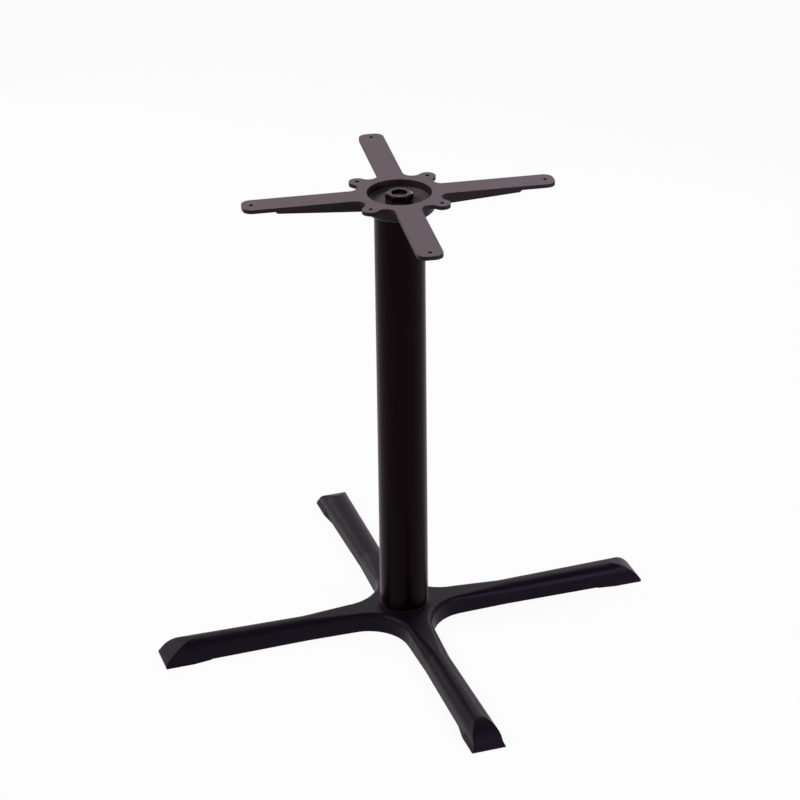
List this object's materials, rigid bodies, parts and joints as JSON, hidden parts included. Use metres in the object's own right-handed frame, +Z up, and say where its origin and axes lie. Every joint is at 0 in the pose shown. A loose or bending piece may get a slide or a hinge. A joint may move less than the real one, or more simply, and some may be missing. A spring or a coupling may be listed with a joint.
{
  "type": "table base",
  "caption": "Cross-foot pedestal table base: hollow cast star, tube column and ribbed cast spider clamped by a tie rod, with levelling glides.",
  "frame": {"origin": "on the floor, on the axis of the column", "axes": "+Z up along the column; the arms of the base star lie along X and Y; the spider is turned by -7 degrees about +Z"},
  "size_m": [0.792, 0.792, 0.732],
  "materials": {
    "base_paint": "satin black powder coat on a fine cast surface",
    "column_paint": "satin black powder coat",
    "spider_paint": "satin black powder coat on a fine cast surface",
    "rod_steel": "blackened steel",
    "nut_steel": "blackened steel",
    "stem_steel": "zinc plated",
    "glide_plastic": "matt black nylon"
  },
  "bodies": {
    "base": {"base_casting": "base_paint", "column": "column_paint", "top_spider": "spider_paint", "tie_rod": "rod_steel", "top_washer": "nut_steel", "top_nut": "nut_steel", "bottom_washer": "nut_steel", "bottom_nut": "nut_steel"},
    "glide_1": {"glide_foot_1": "glide_plastic", "glide_stem_1": "stem_steel"},
    "glide_2": {"glide_foot_2": "glide_plastic", "glide_stem_2": "stem_steel"},
    "glide_3": {"glide_foot_3": "glide_plastic", "glide_stem_3": "stem_steel"},
    "glide_4": {"glide_foot_4": "glide_plastic", "glide_stem_4": "stem_steel"}
  },
  "joints": [
    {"name": "glide_1_level", "type": "slide", "parent": "base", "child": "glide_1", "axis": [0, 0, -1], "range_m": [0, 0.008]},
    {"name": "glide_2_level", "type": "slide", "parent": "base", "child": "glide_2", "axis": [0, 0, -1], "range_m": [0, 0.008]},
    {"name": "glide_3_level", "type": "slide", "parent": "base", "child": "glide_3", "axis": [0, 0, -1], "range_m": [0, 0.008]},
    {"name": "glide_4_level", "type": "slide", "parent": "base", "child": "glide_4", "axis": [0, 0, -1], "range_m": [0, 0.008]}
  ]
}
